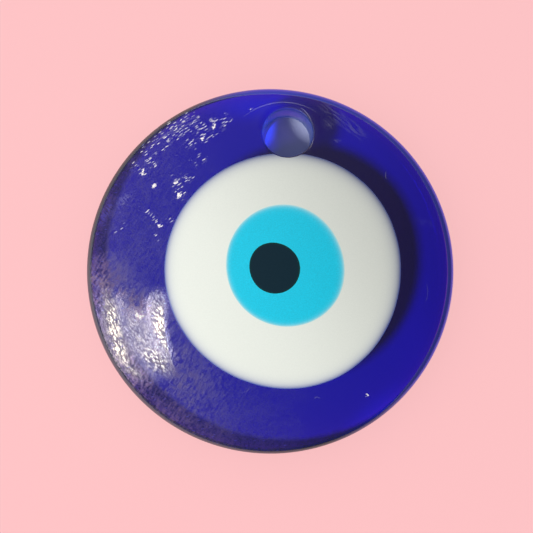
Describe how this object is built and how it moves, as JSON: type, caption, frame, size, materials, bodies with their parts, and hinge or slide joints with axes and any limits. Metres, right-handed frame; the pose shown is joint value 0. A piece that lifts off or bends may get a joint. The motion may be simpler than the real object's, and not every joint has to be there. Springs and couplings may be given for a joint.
{
  "type": "evil eye pendant",
  "caption": "Round cobalt glass pendant with a domed front, flat back, cord hole and an eye of fused white, turquoise and dark glass.",
  "frame": {"origin": "centre of the disc, on its flat back face", "axes": "+Z out of the domed front, the way the eye looks; +Y from the middle of the disc to the cord hole; +X to the right of someone who looks at the front with the hole at the top"},
  "size_m": [0.04, 0.04, 0.0075],
  "materials": {
    "cobalt_glass": "gloss",
    "white_glass": "gloss",
    "turquoise_glass": "gloss",
    "dark_glass": "gloss"
  },
  "bodies": {
    "root": {"glass_body": "cobalt_glass", "eye_white": "white_glass", "eye_iris": "turquoise_glass", "eye_pupil": "dark_glass"}
  },
  "joints": []
}
